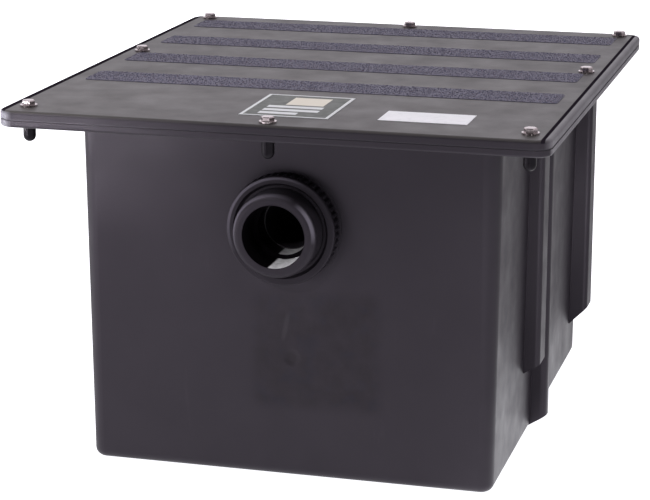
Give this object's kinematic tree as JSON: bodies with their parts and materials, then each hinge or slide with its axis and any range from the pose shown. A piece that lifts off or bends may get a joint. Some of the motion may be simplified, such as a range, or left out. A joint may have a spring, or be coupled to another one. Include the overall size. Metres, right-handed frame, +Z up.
{
  "type": "grease trap",
  "caption": "Moulded plastic grease trap tank with outside slot columns, a bolted flat lid with grip strips, bulkhead pipe fittings at both ends and lift-out baffles inside.",
  "frame": {"origin": "middle of the tank's underside", "axes": "X along the inlet end wall, +Y from the inlet end to the outlet end, +Z up"},
  "size_m": [0.526, 0.598, 0.3698],
  "materials": {
    "shell": "satin moulded polyethylene",
    "fitting": "satin black moulded plastic",
    "rubber": "black rubber",
    "steel": "bright stainless steel",
    "grip_tape": "gritty anti-slip tape",
    "label_film": "printed film",
    "sticker_paper": "blank white film"
  },
  "bodies": {
    "tank_body": {"tank": "shell", "lid_gasket": "rubber", "well_nuts": "rubber", "inlet_fitting": "fitting", "inlet_ring_nut": "fitting", "inlet_ring_seal": "rubber", "inlet_elbow": "fitting", "inlet_drop_pipe": "fitting", "outlet_fitting": "fitting", "outlet_ring_nut": "fitting", "outlet_ring_seal": "rubber", "outlet_elbow": "fitting", "outlet_drop_pipe": "fitting", "baffle": "shell", "weir_plate": "shell"},
    "lid_body": {"lid": "shell", "lid_bolts": "steel", "lid_washers": "steel", "grip_strip_1": "grip_tape", "grip_strip_2": "grip_tape", "grip_strip_3": "grip_tape", "grip_strip_4": "grip_tape", "square_label": "label_film", "blank_sticker": "sticker_paper"}
  },
  "joints": [
    {"name": "lid_lift", "type": "slide", "parent": "tank_body", "child": "lid_body", "axis": [0, 0, 1], "range_m": [0, 0.3]}
  ]
}
